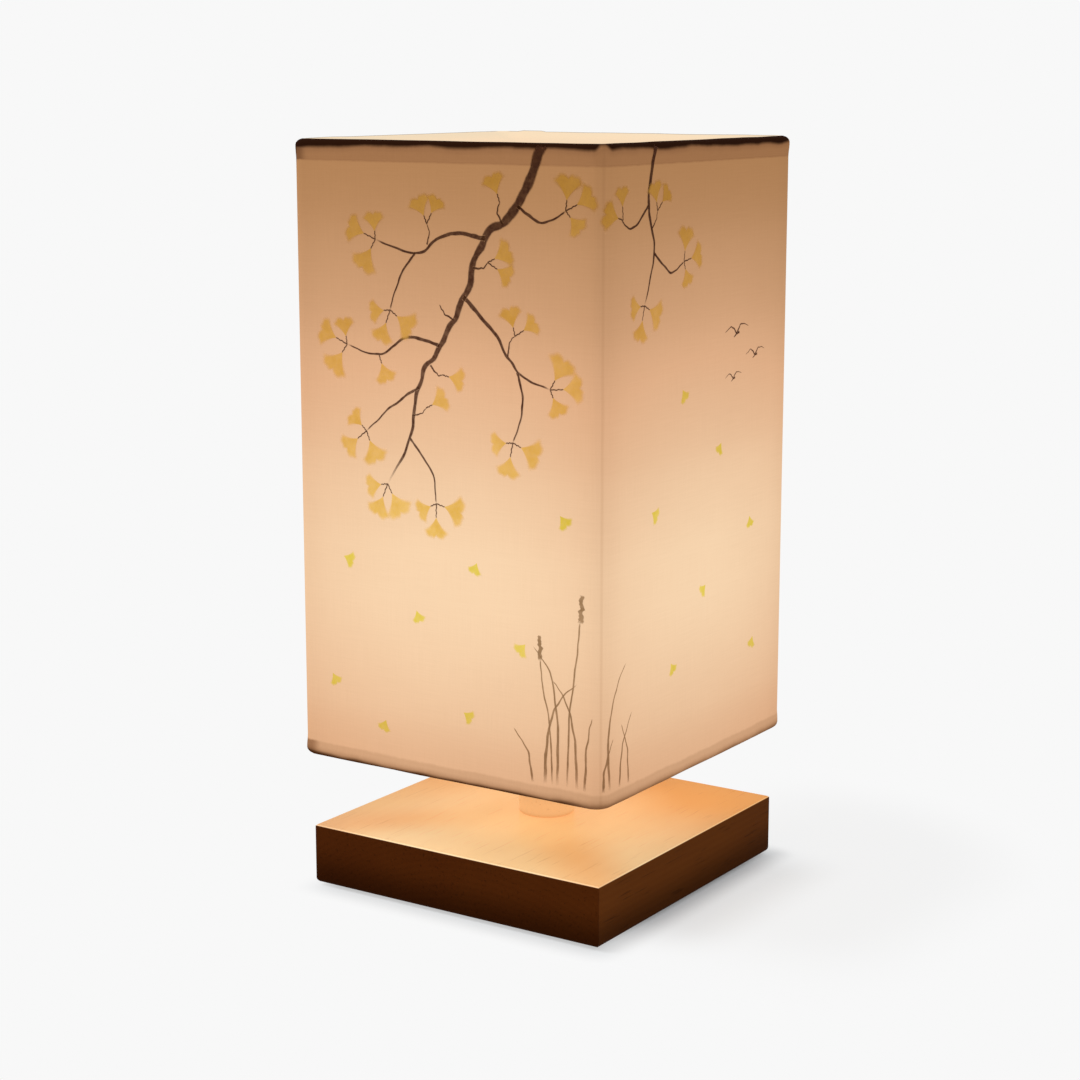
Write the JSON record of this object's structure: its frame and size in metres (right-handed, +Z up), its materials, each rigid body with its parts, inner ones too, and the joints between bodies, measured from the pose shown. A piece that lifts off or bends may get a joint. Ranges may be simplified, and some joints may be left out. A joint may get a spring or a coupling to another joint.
{
  "type": "bedside lamp",
  "caption": "Bedside lamp with a tall square fabric shade, lit from inside, on a bulb holder over a flat square wooden base; the shade turns and lifts off and the bulb comes out.",
  "frame": {"origin": "middle of the plane that the foot pads rest on", "axes": "+Z up through the bulb holder, -Y the front face, +Y the face with the cord inlet"},
  "size_m": [0.13, 0.13, 0.2745],
  "materials": {
    "base_wood": "satin, dark stained sides, honey top",
    "collar_wood": "satin, turned",
    "felt": "felt",
    "cover_fibre": "matt, fine grain",
    "zinc_steel": "bright zinc",
    "grommet_rubber": "matt",
    "block_plastic": "natural",
    "brass": "bright",
    "live_sleeve": "insulation, brown",
    "neutral_sleeve": "insulation, blue",
    "holder_plastic": "moulded, satin",
    "carrier_ceramic": "unglazed",
    "white_wire": "powder coat",
    "liner_sheet": "translucent, lit",
    "shade_cloth": "plain weave, translucent, lit",
    "solder": "tinned",
    "insulator_glass": "black vitrite",
    "cap_metal": "nickel plated",
    "housing_plastic": "moulded",
    "board_white": "white solder mask",
    "chip_phosphor": "phosphor",
    "dome_opal": "opal, lit"
  },
  "bodies": {
    "base": {"base_block": "base_wood", "stem_collar": "collar_wood", "foot_pad_front_left": "felt", "foot_pad_front_right": "felt", "foot_pad_back_left": "felt", "foot_pad_back_right": "felt", "base_cover": "cover_fibre", "cover_screws": "zinc_steel", "stem_tube": "zinc_steel", "stem_washer": "zinc_steel", "stem_nut": "zinc_steel", "block_screw": "zinc_steel", "cord_grommet": "grommet_rubber", "terminal_block": "block_plastic", "block_pole_screws": "brass", "live_terminal": "brass", "neutral_terminal": "brass", "holder_terminal_screws": "brass", "centre_contact": "brass", "shell_rivet": "brass", "screw_shell": "brass", "live_lead": "live_sleeve", "neutral_lead": "neutral_sleeve", "holder_cap": "holder_plastic", "holder_skirt": "holder_plastic", "contact_carrier": "carrier_ceramic"},
    "ring": {"shade_ring": "holder_plastic"},
    "shade": {"fitter_ring": "white_wire", "spider_arm_front": "white_wire", "spider_arm_right": "white_wire", "spider_arm_back": "white_wire", "spider_arm_left": "white_wire", "bottom_wire": "white_wire", "top_wire": "white_wire", "shade_liner": "liner_sheet", "shade_fabric": "shade_cloth"},
    "bulb": {"cap_contact": "solder", "cap_insulator": "insulator_glass", "bulb_cap": "cap_metal", "bulb_housing": "housing_plastic", "led_board": "board_white", "led_chips": "chip_phosphor", "bulb_dome": "dome_opal"}
  },
  "joints": [
    {"name": "shade_lift", "type": "slide", "parent": "base", "child": "ring", "axis": [0, 0, 1], "range_m": [0, 0.08]},
    {"name": "shade_turn", "type": "hinge", "parent": "ring", "child": "shade", "pos_m": [0, 0, 0.0549], "axis": [0, 0, 1], "continuous": true},
    {"name": "bulb_out", "type": "slide", "parent": "base", "child": "bulb", "axis": [0, 0, 1], "range_m": [0, 0.23]}
  ]
}
